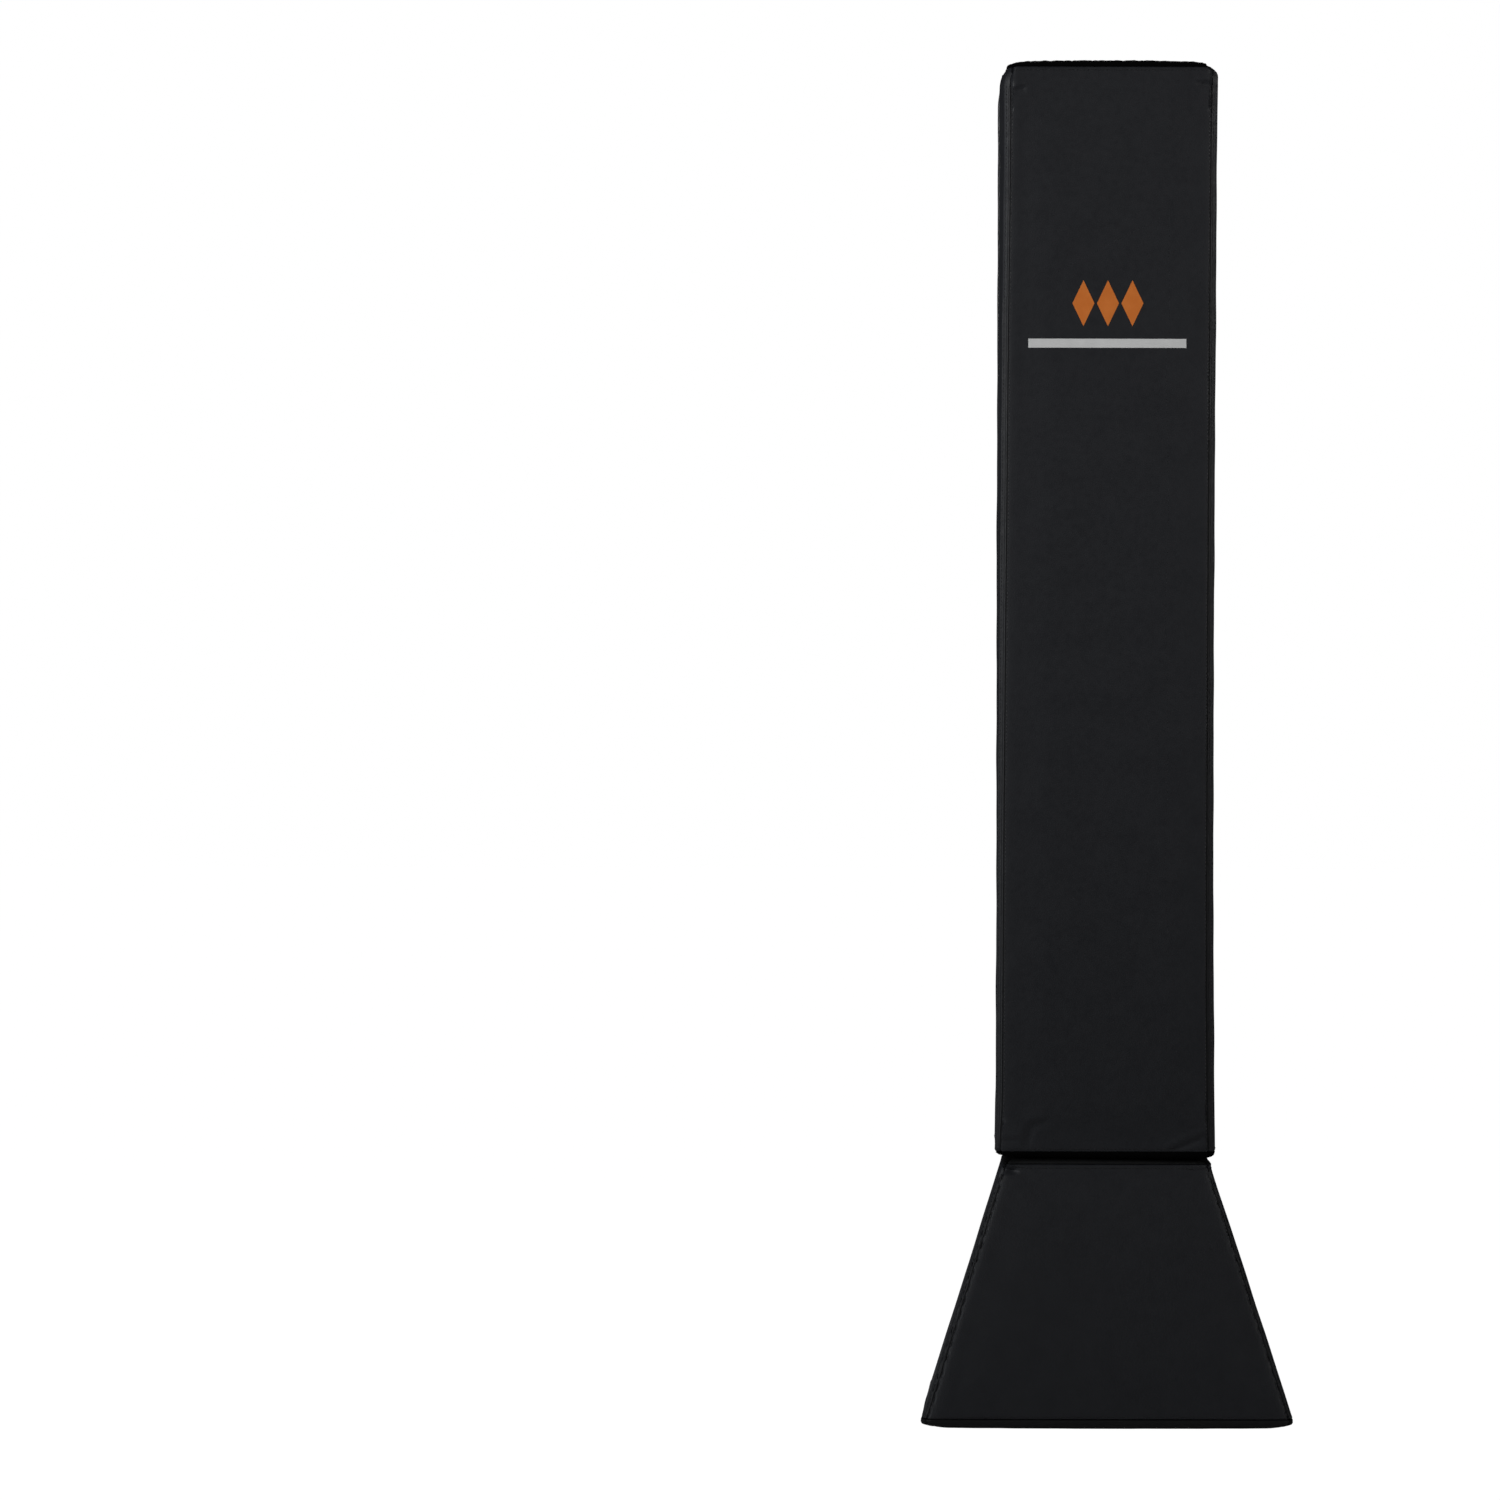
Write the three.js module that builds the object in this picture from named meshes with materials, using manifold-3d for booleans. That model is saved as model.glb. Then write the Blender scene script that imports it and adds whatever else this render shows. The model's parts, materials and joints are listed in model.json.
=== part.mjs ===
// A basketball pole pad: a tall main pad resting on a short flared gusset pad, both wrapped round a
// square pole. Each pad has a front panel and two wings, folded on their corner seams and held shut
// by hook-and-loop straps across the open back. Lengths are in millimetres, +Z is up, the front
// faces -Y, and the origin is on the floor at the pole's axis.

import * as THREE from 'three';
import { mergeVertices } from 'three/addons/utils/BufferGeometryUtils.js';
import Module from 'manifold-3d';

const wasm = await Module();
wasm.setup();

// The whole object
const overallHeight = 1575;
const gussetHeight = 303;
const restGap = 0.3;
const mainWidth = 252;
// How far the top of the gusset pad stands back from the sides of the main pad
const gussetTopInset = 6.75;

// What all six panels share
const skin = 1.2;
const liningThickness = 1;
const fitGap = 0.3;
const foamGap = 0.6;
const mitreGap = 0.5;
const seamRun = 15;
const seamTip = 1;
const crown = 3;
const rearEdgeRound = 9;
const innerCornerRound = 14;
const rimRound = 1.5;
const rimOverrun = 0.5;
const openOverrun = 5;
const weltRadius = 1.5;
const pieceGap = 0.3;

// The main pad: a straight tube of boards round the pole
const mainPad = {
  name: 'main',
  low: gussetHeight + restGap,
  high: overallHeight,
  bottomWidth: mainWidth,
  topWidth: mainWidth,
  thickness: 49,
  rearReach: 0.5,
  top: { tall: 12, deep: 8, bulge: 3, sag: 1.8, seam: 6.8 },
  bottom: { tall: 5, deep: 4, bulge: 3, sag: 0.8, seam: 4.4 },
  wingTop: { tall: 26, deep: 11 },
  wingTopDrop: 0,
  wingTaper: 0,
  wingLeans: false,
  straps: {
    heightShares: [0.09, 0.36, 0.64, 0.91],
    sewnLength: 30,
    loopLength: 23,
    hookLength: 84,
    standOff: 3.5,
  },
};

// The gusset pad: flared on every side, down to the floor
const gussetPad = {
  name: 'gusset',
  low: 0,
  high: gussetHeight,
  bottomWidth: 432,
  topWidth: mainWidth - 2 * gussetTopInset,
  thickness: 37,
  rearReach: -2.1,
  top: { tall: 4.5, deep: 3.5, bulge: 3, sag: 1, seam: 3.8 },
  bottom: { tall: 7, deep: 3.5, bulge: 3, sag: 2.5, seam: 8 },
  wingTop: {},
  wingTopDrop: 2,
  // The straps draw the wings in behind: this much for each millimetre back from the corner seam
  wingTaper: 0.025,
  wingLeans: true,
  straps: {
    heightShares: [0.3, 0.76],
    sewnLength: 20,
    loopLength: 16,
    hookLength: 84,
    standOff: 4.8,
  },
};

// What all six straps share
const strap = {
  width: 38,
  thickness: 1.6,
  edgeInset: 4,
  cornerRound: 2,
  endInset: 1,
  endRound: 9,
  gripLength: 14,
  gripThickness: 1.2,
  gripMargin: 0.6,
  hookInset: 4,
  hookMargin: 1.5,
  hookThickness: 1.2,
  loopThickness: 1.2,
};

// A panel's section from its face, 0, to the pole side, 1: how far its ends swell there, and how much
// of the round of its inner rear corner has been cut
const sectionShares = [
  { deep: 0, swell: 0, corner: 0 },
  { deep: 0.3, swell: 1, corner: 0 },
  { deep: 0.65, swell: 1, corner: 0 },
  { deep: 0.9, swell: 0.5, corner: 0.35 },
  { deep: 1, swell: 0, corner: 1 },
];
// Where the plain middle of a face has its lines, and how much of its width its edges take
const edgeShare = 0.15;
const sagStartShare = 0.35;
const faceColumnShares = [0.33, 0.67];
const faceRowShares = [0.5];
const fineSteps = 3;
const plainSteps = 1;
const weltSides = 8;
const tapeRoundSteps = 3;
const mergeDistance = 1e-4;

const quarterTurn = Math.PI / 2;
const diagonal = Math.SQRT2;

const finishes = {
  vinyl: { color: 0x222325, roughness: 0.5, metalness: 0 },
  boxing: { color: 0x1a1b1c, roughness: 0.6, metalness: 0 },
  welt: { color: 0x151617, roughness: 0.6, metalness: 0 },
  foam: { color: 0x9a9da1, roughness: 1, metalness: 0 },
  lining: { color: 0x2b2c2e, roughness: 0.95, metalness: 0 },
  webbing: { color: 0x17181a, roughness: 0.85, metalness: 0 },
  hook: { color: 0x0f1011, roughness: 0.9, metalness: 0 },
  loop: { color: 0x202123, roughness: 1, metalness: 0 },
};

// Where a pad's corner seams and open rear lie at a height

function seamHalf(pad, z) {
  const share = (z - pad.low) / (pad.high - pad.low);
  return THREE.MathUtils.lerp(pad.bottomWidth, pad.topWidth, share) / 2 - crown;
}

function slopeOf(pad) {
  return (pad.bottomWidth - pad.topWidth) / 2 / (pad.high - pad.low);
}

function rearAt(pad, z) {
  return seamHalf(pad, z) + crown + pad.rearReach;
}

function backDepth(pad) {
  return pad.thickness - crown;
}

// How far out a wing's face is at its open rear
function rearHalf(pad, z) {
  return seamHalf(pad, z) - pad.wingTaper * (rearAt(pad, z) + seamHalf(pad, z));
}

// A panel is a board of its pad: side 0 is the front, -1 the left wing and +1 the right wing. Where a
// wing leans, its top is cut square to its face, so it drops towards the pole

function panelOf(pad, side, name) {
  const isWing = side !== 0;
  const lean = isWing && pad.wingLeans ? slopeOf(pad) : 0;
  return {
    pad,
    side,
    name: `${pad.name}_${name}`,
    lean,
    top: isWing ? { ...pad.top, ...pad.wingTop } : pad.top,
    topFall: lean / (1 + lean * lean),
    topDrop: isWing ? pad.wingTopDrop : 0,
    taper: isWing ? pad.wingTaper : 0,
  };
}

// An edge's lines, from the edge inwards: the face swells from the height low to the height high
function edgeColumns(steps, run, low, high) {
  const columns = [];
  for (let n = 0; n <= steps; n += 1) {
    const turn = (n / steps) * quarterTurn;
    columns.push({ run: run * (1 - Math.cos(turn)), rise: low + (high - low) * Math.sin(turn) });
  }
  return columns;
}

function columnsOf(panel, steps) {
  const seamEdge = edgeColumns(steps, seamRun, -seamTip, crown);
  const rearEdge = edgeColumns(steps, rearEdgeRound, crown - rearEdgeRound, crown);
  const farEdge = panel.side === 0 ? seamEdge : rearEdge;
  const start = seamEdge.map((column) => ({ ...column, from: -1 }));
  const middle = faceColumnShares.map((share) => ({ share, rise: crown, from: 0 }));
  const end = farEdge.map((column) => ({ ...column, from: 1 })).reverse();
  const startRun = seamEdge[steps].run;
  const endRun = farEdge[steps].run;
  const columns = [...start, ...middle, ...end];
  for (const column of columns) {
    if (column.from < 0) column.across = (column.run / startRun) * edgeShare - 1;
    else if (column.from > 0) column.across = 1 - (column.run / endRun) * edgeShare;
    else column.across = (2 * column.share - 1) * (1 - edgeShare);
  }
  return { columns, startRun, endRun };
}

// A round end's lines, from the end inwards
function endRows(steps, round, shrink, end) {
  const rows = [];
  for (let n = 0; n <= steps; n += 1) {
    const turn = quarterTurn * (1 - n / steps);
    const up = (round.tall - shrink) * (1 - Math.sin(turn));
    const deep = (round.deep - shrink) * (1 - Math.cos(turn));
    rows.push({ end, up, deep, outermost: n === 0 });
  }
  return rows;
}

function rowsOf(panel, steps, shrink) {
  const bottom = endRows(steps, panel.pad.bottom, shrink, -1);
  const middle = faceRowShares.map((share) => ({ end: 0, share, deep: 0 }));
  const top = endRows(steps, panel.top, shrink, 1).reverse();
  return [...bottom, ...middle, ...top];
}

// The ends sag towards the panel's corners and stay flat in the middle
function sagAt(across) {
  const beyond = Math.max(0, Math.abs(across) - sagStartShare) / (1 - sagStartShare);
  return beyond * beyond;
}

function bottomEdge(panel, across, shrink) {
  const { low, bottom } = panel.pad;
  return low + bottom.bulge + bottom.sag * sagAt(across) + shrink;
}

function topEdge(panel, across, shrink) {
  const { top } = panel;
  return panel.pad.high - top.bulge - panel.topDrop / 2 - top.sag * sagAt(across) - shrink;
}

function topBulge(panel) {
  return panel.top.bulge - panel.topDrop / 2;
}

function faceHeight(panel, row, across, shrink) {
  const low = bottomEdge(panel, across, shrink);
  const high = topEdge(panel, across, shrink);
  if (row.end < 0) return low + row.up;
  if (row.end > 0) return high - row.up;
  const lowRun = panel.pad.bottom.tall - shrink;
  const highRun = panel.top.tall - shrink;
  return THREE.MathUtils.lerp(low + lowRun, high - highRun, row.share);
}

function placeOnPanel(panel, along, half, z) {
  if (panel.side === 0) return new THREE.Vector3(along, -half, z);
  const drawnIn = panel.taper * (along + seamHalf(panel.pad, z));
  return new THREE.Vector3(panel.side * (half - drawnIn), along, z);
}

// One point of a padded panel's surface. A wing's inner rear corner is rounded, so that it swings
// clear of the straps
function panelPoint(panel, layout, column, row, ring, shrink, back) {
  const { pad } = panel;
  const startDepth = shrink + row.deep - column.rise;
  const edgeDepth = shrink + row.deep + seamTip;
  const depth = THREE.MathUtils.lerp(startDepth, back, ring.deep) + ring.beyond;
  const baseDepth = THREE.MathUtils.lerp(edgeDepth, back, ring.deep) + ring.beyond;
  const leanShare = row.end > 0 ? 1 : row.share ?? 0;
  const swell = row.outermost ? ring.swell : 0;
  const bulge = row.end > 0 ? topBulge(panel) : -pad.bottom.bulge;
  const rim = row.outermost && ring.deep === 1 ? -rimRound * row.end : 0;
  const z =
    faceHeight(panel, row, column.across, shrink) -
    panel.topFall * leanShare * Math.max(0, depth - panel.top.deep + crown) +
    swell * bulge +
    rim;
  const gap = mitreGap + shrink * diagonal + panel.taper * baseDepth;
  const start = -(seamHalf(pad, z) - baseDepth - gap);
  const mitredEnd = seamHalf(pad, z) - baseDepth - gap;
  const rearEnd = rearAt(pad, z) - shrink - innerCornerRound * ring.corner;
  const end = panel.side === 0 ? mitredEnd : rearEnd;
  let along = THREE.MathUtils.lerp(start + layout.startRun, end - layout.endRun, column.share ?? 0);
  if (column.from < 0) along = start + column.run;
  if (column.from > 0) along = end - column.run;
  return placeOnPanel(panel, along, seamHalf(pad, z) - depth, z);
}

// A panel's sections. The hollow of its vinyl runs on past the pole side, so that it is open there
function sectionsOf(isPlain, isHollow) {
  const all = sectionShares.map((ring) => ({ ...ring, beyond: 0 }));
  const last = all.pop();
  if (isPlain) return [all[0], last];
  if (!isHollow) return [...all, last];
  return [...all, { ...last, beyond: rimOverrun }, { ...last, beyond: openOverrun }];
}

// A closed padded board: its face, its four sides and its pole side
function paddedSolid(panel, steps, shrink, back, isHollow) {
  const layout = columnsOf(panel, steps);
  const { columns } = layout;
  const rows = rowsOf(panel, steps, shrink);
  const rings = sectionsOf(steps === plainSteps, isHollow);
  const lastColumn = columns.length - 1;
  const lastRow = rows.length - 1;
  const points = [];
  const indexOf = new Map();
  const at = (i, j, ring) => {
    const key = `${i},${j},${ring}`;
    if (!indexOf.has(key)) {
      indexOf.set(key, points.length);
      points.push(panelPoint(panel, layout, columns[j], rows[i], rings[ring], shrink, back));
    }
    return indexOf.get(key);
  };
  const triangles = [];
  const quad = (a, b, c, d) => triangles.push([a, b, c], [a, c, d]);
  const lastRing = rings.length - 1;
  for (let i = 0; i < lastRow; i += 1) {
    for (let j = 0; j < lastColumn; j += 1) {
      quad(at(i, j, 0), at(i, j + 1, 0), at(i + 1, j + 1, 0), at(i + 1, j, 0));
      quad(at(i, j, lastRing), at(i + 1, j, lastRing), at(i + 1, j + 1, lastRing), at(i, j + 1, lastRing));
    }
  }
  const loop = [];
  for (let j = 0; j < lastColumn; j += 1) loop.push([0, j]);
  for (let i = 0; i < lastRow; i += 1) loop.push([i, lastColumn]);
  for (let j = lastColumn; j > 0; j -= 1) loop.push([lastRow, j]);
  for (let i = lastRow; i > 0; i -= 1) loop.push([i, 0]);
  for (let ring = 0; ring < lastRing; ring += 1) {
    loop.forEach(([i, j], p) => {
      const [nextI, nextJ] = loop[(p + 1) % loop.length];
      quad(at(i, j, ring), at(i, j, ring + 1), at(nextI, nextJ, ring + 1), at(nextI, nextJ, ring));
    });
  }
  return solidOf(points, triangles, panel.side < 0);
}

function solidOf(points, triangles, isMirrored) {
  const ordered = triangles.map(([a, b, c]) => (isMirrored ? [a, c, b] : [a, b, c]));
  return new wasm.Manifold(
    new wasm.Mesh({
      numProp: 3,
      vertProperties: new Float32Array(points.flatMap((point) => point.toArray())),
      triVerts: new Uint32Array(ordered.flat()),
    }),
  );
}

function geometryOf(solid) {
  const mesh = solid.simplify(0.02).getMesh();
  const geometry = new THREE.BufferGeometry();
  geometry.setAttribute('position', new THREE.BufferAttribute(mesh.vertProperties, 3));
  geometry.setIndex(new THREE.BufferAttribute(mesh.triVerts, 1));
  const merged = mergeVertices(geometry, mergeDistance);
  merged.computeVertexNormals();
  return merged;
}

// The part of a panel's solid that lies above or below one of its seams. A wing's top seam leans
// with its board, square to the face
function seamNormal(panel, isTop) {
  if (!isTop) return new THREE.Vector3(0, 0, 1);
  return new THREE.Vector3(-panel.side * panel.lean, 0, 1).normalize();
}

function pastSeam(solid, panel, isTop, z, keepsAbove) {
  const normal = seamNormal(panel, isTop);
  const onFace = new THREE.Vector3(panel.side * seamHalf(panel.pad, z), 0, z);
  const offset = normal.dot(onFace);
  if (keepsAbove) return solid.trimByPlane(normal.toArray(), offset);
  return solid.trimByPlane(normal.negate().toArray(), -offset);
}

function topSeam(panel) {
  return topEdge(panel, 0, 0) - panel.top.seam;
}

function bottomSeam(panel) {
  return bottomEdge(panel, 0, 0) + panel.pad.bottom.seam;
}

// The vinyl of a panel: a tray that is open to the pole, made of the main cover and two end strips
function panelVinyl(panel) {
  const back = backDepth(panel.pad);
  const outside = paddedSolid(panel, fineSteps, 0, back, false);
  const inside = paddedSolid(panel, fineSteps, skin, back, true);
  return outside.subtract(inside);
}

function addPanelVinyl(group, panel, bottomName) {
  const tray = panelVinyl(panel);
  const top = topSeam(panel);
  const bottom = bottomSeam(panel);
  const belowTop = pastSeam(tray, panel, true, top - pieceGap / 2, false);
  const cover = pastSeam(belowTop, panel, false, bottom + pieceGap / 2, true);
  addPiece(group, `${panel.name}_cover`, cover, 'vinyl');
  addPiece(group, `${panel.name}_top_boxing`, pastSeam(tray, panel, true, top + pieceGap / 2, true), 'boxing');
  const bottomStrip = pastSeam(tray, panel, false, bottom - pieceGap / 2, false);
  addPiece(group, `${panel.name}_${bottomName}`, bottomStrip, 'boxing');
}

// The foam board fills the vinyl, up to the lining
function addFoam(group, panel) {
  const back = backDepth(panel.pad) - liningThickness - fitGap;
  addPiece(group, `${panel.name}_foam`, paddedSolid(panel, plainSteps, skin + foamGap, back, false), 'foam');
}

// The lining closes the cover on the pole side, inside the cover's edge
function addLining(group, panel) {
  const { pad } = panel;
  const inset = skin + fitGap;
  const far = backDepth(pad);
  const points = [];
  for (const isTop of [false, true]) {
    for (const isEnd of [false, true]) {
      for (const depth of [far, far - liningThickness]) {
        points.push(liningCorner(panel, isTop, isEnd, depth, inset));
      }
    }
  }
  const [a, b, c, d, e, f, g, h] = points.keys();
  const triangles = [];
  const quad = (p, q, r, s) => triangles.push([p, q, r], [p, r, s]);
  quad(a, e, g, c);
  quad(b, d, h, f);
  quad(a, c, d, b);
  quad(e, f, h, g);
  quad(a, b, f, e);
  quad(c, g, h, d);
  addPiece(group, `${panel.name}_lining`, solidOf(points, triangles, panel.side < 0), 'lining');
}

function liningCorner(panel, isTop, isEnd, depth, inset) {
  const { pad } = panel;
  const rim = inset + rimRound;
  const lowest = bottomEdge(panel, 1, rim);
  const highest = topEdge(panel, 1, rim) - panel.topFall * (depth - panel.top.deep + crown);
  const z = isTop ? highest : lowest;
  const half = seamHalf(pad, z) - depth;
  const mitred = half - mitreGap - inset * diagonal - panel.taper * depth;
  const rear = rearAt(pad, z) - innerCornerRound - inset;
  const end = panel.side === 0 ? mitred : rear;
  return placeOnPanel(panel, isEnd ? end : -mitred, half, z);
}

// The welt is the sewn bead on the corner seam that a wing folds on
function addWelt(group, pad, side, name) {
  const low = pad.low + pad.bottom.bulge + pad.bottom.sag + pad.bottom.tall;
  const high = pad.high - pad.top.bulge - pad.top.sag - (pad.wingTop.tall ?? pad.top.tall);
  const from = new THREE.Vector3(side * seamHalf(pad, low), -seamHalf(pad, low), low);
  const to = new THREE.Vector3(side * seamHalf(pad, high), -seamHalf(pad, high), high);
  const along = to.clone().sub(from);
  const bead = new THREE.CylinderGeometry(weltRadius, weltRadius, along.length(), weltSides);
  const mesh = new THREE.Mesh(bead, materialOf('welt'));
  mesh.name = `${pad.name}_${name}_corner_welt`;
  mesh.position.copy(from.lerp(to, 1 / 2));
  mesh.quaternion.setFromUnitVectors(new THREE.Vector3(0, 1, 0), along.normalize());
  group.add(mesh);
}

function materialOf(finish) {
  return new THREE.MeshStandardMaterial(finishes[finish]);
}

function addPiece(group, name, solid, finish) {
  const mesh = new THREE.Mesh(geometryOf(solid), materialOf(finish));
  mesh.name = name;
  group.add(mesh);
}

function addPad(group, pad, bottomName) {
  const panels = [panelOf(pad, 0, 'front'), panelOf(pad, -1, 'left_wing'), panelOf(pad, 1, 'right_wing')];
  for (const panel of panels) {
    addPanelVinyl(group, panel, bottomName);
    addFoam(group, panel);
    addLining(group, panel);
  }
  addWelt(group, pad, -1, 'left');
  addWelt(group, pad, 1, 'right');
}

// A flat tape, X along the strap, Z up the pad, and from the height y down towards the pad. Either
// end can be rounded
function tape(from, to, width, startRound, endRound, y, thickness) {
  const half = width / 2;
  const outline = new THREE.Shape();
  outline.moveTo(from + startRound, -half);
  addCorner(outline, to, -half, endRound, -quarterTurn);
  addCorner(outline, to, half, endRound, 0);
  addCorner(outline, from, half, startRound, quarterTurn);
  addCorner(outline, from, -half, startRound, 2 * quarterTurn);
  const geometry = new THREE.ExtrudeGeometry(outline, {
    depth: thickness,
    bevelEnabled: false,
    curveSegments: tapeRoundSteps,
  });
  geometry.rotateX(quarterTurn);
  geometry.translate(0, y, 0);
  return geometry;
}

function addCorner(outline, x, y, round, turn) {
  if (round === 0) {
    outline.lineTo(x, y);
    return;
  }
  const isFar = turn <= 0;
  const isUpper = turn === 0 || turn === quarterTurn;
  const centreX = isFar ? x - round : x + round;
  const centreY = isUpper ? y - round : y + round;
  outline.absarc(centreX, centreY, round, turn, turn + quarterTurn, false);
}

function solidFrom(geometry) {
  const bare = geometry.clone();
  bare.deleteAttribute('normal');
  bare.deleteAttribute('uv');
  const merged = mergeVertices(bare, mergeDistance);
  return new wasm.Manifold(
    new wasm.Mesh({
      numProp: 3,
      vertProperties: new Float32Array(merged.attributes.position.array),
      triVerts: new Uint32Array(merged.index.array),
    }),
  );
}

// The webbing of a strap, with its free end folded over and sewn down as a grip
function strapWebbing(length) {
  const { width, thickness, endRound, gripLength, gripThickness, gripMargin } = strap;
  const flat = tape(pieceGap, length, width, 0, endRound, 0, thickness);
  const fold = tape(
    length - gripLength,
    length - gripMargin,
    width - 2 * gripMargin,
    0,
    endRound - gripMargin,
    gripThickness,
    gripThickness + thickness / 2,
  );
  return solidFrom(flat).add(solidFrom(fold));
}

// A strap and what it fastens with. Its webbing turns on the edge of its sewn end, and its free end
// stands a little off the right wing, whose corner swings past under it
function addStrap(group, pad, number, heightShare) {
  const { straps } = pad;
  const name = `${pad.name}_strap_${number}`;
  const z = THREE.MathUtils.lerp(pad.low, pad.high, heightShare);
  const outer = rearHalf(pad, z + strap.width / 2);
  const onRear = new THREE.Group();
  onRear.position.set(0, rearAt(pad, z), z);
  onRear.rotation.x = Math.atan(slopeOf(pad));
  group.add(onRear);

  const sewnFrom = strap.edgeInset - outer;
  const hinge = sewnFrom + straps.sewnLength;
  const sewn = tape(sewnFrom, hinge, strap.width, strap.cornerRound, 0, fitGap + strap.thickness, strap.thickness);
  addTape(onRear, `${name}_sewn_end`, sewn, 'webbing');

  const loopTo = outer - strap.edgeInset;
  const loop = tape(
    loopTo - straps.loopLength,
    loopTo,
    strap.width,
    strap.cornerRound,
    strap.cornerRound,
    fitGap + strap.loopThickness,
    strap.loopThickness,
  );
  addTape(onRear, `${name}_loop_patch`, loop, 'loop');

  const cornerX = outer - backDepth(pad) + innerCornerRound;
  const swing = new THREE.Group();
  swing.position.set(hinge, fitGap + strap.thickness, 0);
  swing.rotation.z = Math.asin((straps.standOff + strap.hookThickness) / (cornerX - hinge));
  onRear.add(swing);

  const length = outer - strap.endInset - hinge;
  addPiece(swing, `${name}_webbing`, strapWebbing(length), 'webbing');
  const hookTo = length - strap.hookInset;
  const hook = tape(
    hookTo - straps.hookLength,
    hookTo,
    strap.width - 2 * strap.hookMargin,
    strap.cornerRound,
    strap.cornerRound,
    -strap.thickness - fitGap,
    strap.hookThickness,
  );
  addTape(swing, `${name}_hook_tape`, hook, 'hook');
}

function addTape(parent, name, geometry, finish) {
  const mesh = new THREE.Mesh(geometry, materialOf(finish));
  mesh.name = name;
  parent.add(mesh);
}

function addStraps(group, pad) {
  pad.straps.heightShares.forEach((share, n) => addStrap(group, pad, n + 1, share));
}

const polePad = new THREE.Group();
addPad(polePad, gussetPad, 'hem');
addStraps(polePad, gussetPad);
addPad(polePad, mainPad, 'bottom_boxing');
addStraps(polePad, mainPad);

export default polePad;
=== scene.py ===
# %% [markdown]
# # A basketball pole pad in coated vinyl
# The object is a pair of padded sleeves that wrap a square goal post: a tall main pad, and under it a
# short flared pad that hides the post's foot. Each sleeve is three foam boards sewn into black vinyl, and
# it is strapped shut behind. The frame that is loaded first holds every board, seam and strap at its real
# size, so this lesson only has to make them look like vinyl, foam, webbing and thread.

# %% Load the frame
import json
import math

import bpy
import numpy as np
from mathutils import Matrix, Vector


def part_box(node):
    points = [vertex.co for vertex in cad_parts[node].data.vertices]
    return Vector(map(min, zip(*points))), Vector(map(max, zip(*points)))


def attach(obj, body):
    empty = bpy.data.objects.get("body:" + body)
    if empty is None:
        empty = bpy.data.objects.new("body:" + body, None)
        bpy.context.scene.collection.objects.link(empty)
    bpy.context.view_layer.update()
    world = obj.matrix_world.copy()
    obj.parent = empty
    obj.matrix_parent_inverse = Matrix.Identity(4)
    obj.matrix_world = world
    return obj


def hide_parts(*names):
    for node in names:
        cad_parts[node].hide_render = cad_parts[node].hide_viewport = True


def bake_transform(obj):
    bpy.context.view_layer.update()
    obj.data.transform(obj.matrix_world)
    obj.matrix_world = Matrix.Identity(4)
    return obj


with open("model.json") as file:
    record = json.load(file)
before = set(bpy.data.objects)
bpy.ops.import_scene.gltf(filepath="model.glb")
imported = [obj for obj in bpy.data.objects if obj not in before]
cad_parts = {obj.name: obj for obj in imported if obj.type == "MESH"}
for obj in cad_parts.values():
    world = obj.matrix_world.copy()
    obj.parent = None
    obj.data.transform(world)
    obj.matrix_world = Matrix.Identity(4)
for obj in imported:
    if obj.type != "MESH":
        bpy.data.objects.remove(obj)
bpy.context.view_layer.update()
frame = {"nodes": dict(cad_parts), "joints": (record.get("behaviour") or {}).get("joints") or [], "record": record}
scene = bpy.context.scene
scene.view_settings.view_transform = "Standard"
mm = 0.001

# %% [markdown]
# ## The camera
# The photograph was taken level, from far away with a long lens, at half the pad's height and a little to
# the left of it. A long lens could be imitated with an orthographic camera, but then the foot, which is
# nearer to the lens, would look too narrow. So this is a real camera with its lens shifted sideways: a
# shift keeps level edges level, where turning the camera would tilt them. The lens and its sensor are in
# millimetres, and the camera's place is in metres.

# %% The camera
photo_pixels = 1500
pad_axis_pixel = 1107.2
horizon_pixel = 740
lens = 146
sensor = 36
eye_distance = 7.027
eye_left = 0.2
eye_height = 0.7864
camera_roll = math.radians(-0.12)


def add_camera():
    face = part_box("main_front_cover")[0].y
    bpy.ops.object.camera_add(
        location=(-eye_left, face - eye_distance, eye_height),
        rotation=(math.pi / 2, camera_roll, 0),
    )
    camera = bpy.context.object
    camera.name = "camera"
    camera.data.lens = lens
    camera.data.sensor_width = sensor
    pixels_right = eye_left / eye_distance * lens / sensor * photo_pixels
    middle = photo_pixels / 2
    camera.data.shift_x = (middle + pixels_right - pad_axis_pixel) / photo_pixels
    camera.data.shift_y = (horizon_pixel - middle) / photo_pixels
    camera.data.clip_end = 100
    scene.camera = camera


add_camera()
print("lens shift", round(scene.camera.data.shift_x, 4), round(scene.camera.data.shift_y, 4))

# %% [markdown]
# ## The studio
# Black vinyl shows only what it reflects, so the lights matter more than the paint. One light in front
# would be easy, but it makes the face bright and its edges dark. So two soft boxes stand to the left and
# the right, aimed at the top of the pad, which leaves its foot darker, as in the photograph. Two narrow
# lights further round draw the lines down the front's edges, the left one brighter, and one behind serves
# only the views from there. The floor and the sky look white to the camera but light the pad only a little,
# as white paper a long way off would.

# %% The studio
floor_size = 60
sky_seen = 1.0
sky_light = 0.012
floor_glow = 1.25
floor_glow_share = 0.8
floor_colour = (0.82, 0.82, 0.82, 1)


def add_node(material, kind, inputs=None, **settings):
    """A shader node, with its settings and with each input given a value or a link."""
    made = material.node_tree.nodes.new("ShaderNode" + kind)
    for key, value in settings.items():
        setattr(made, key, value)
    for key, value in (inputs or {}).items():
        if isinstance(value, bpy.types.NodeSocket):
            material.node_tree.links.new(value, made.inputs[key])
        else:
            made.inputs[key].default_value = value
    return made


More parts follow.
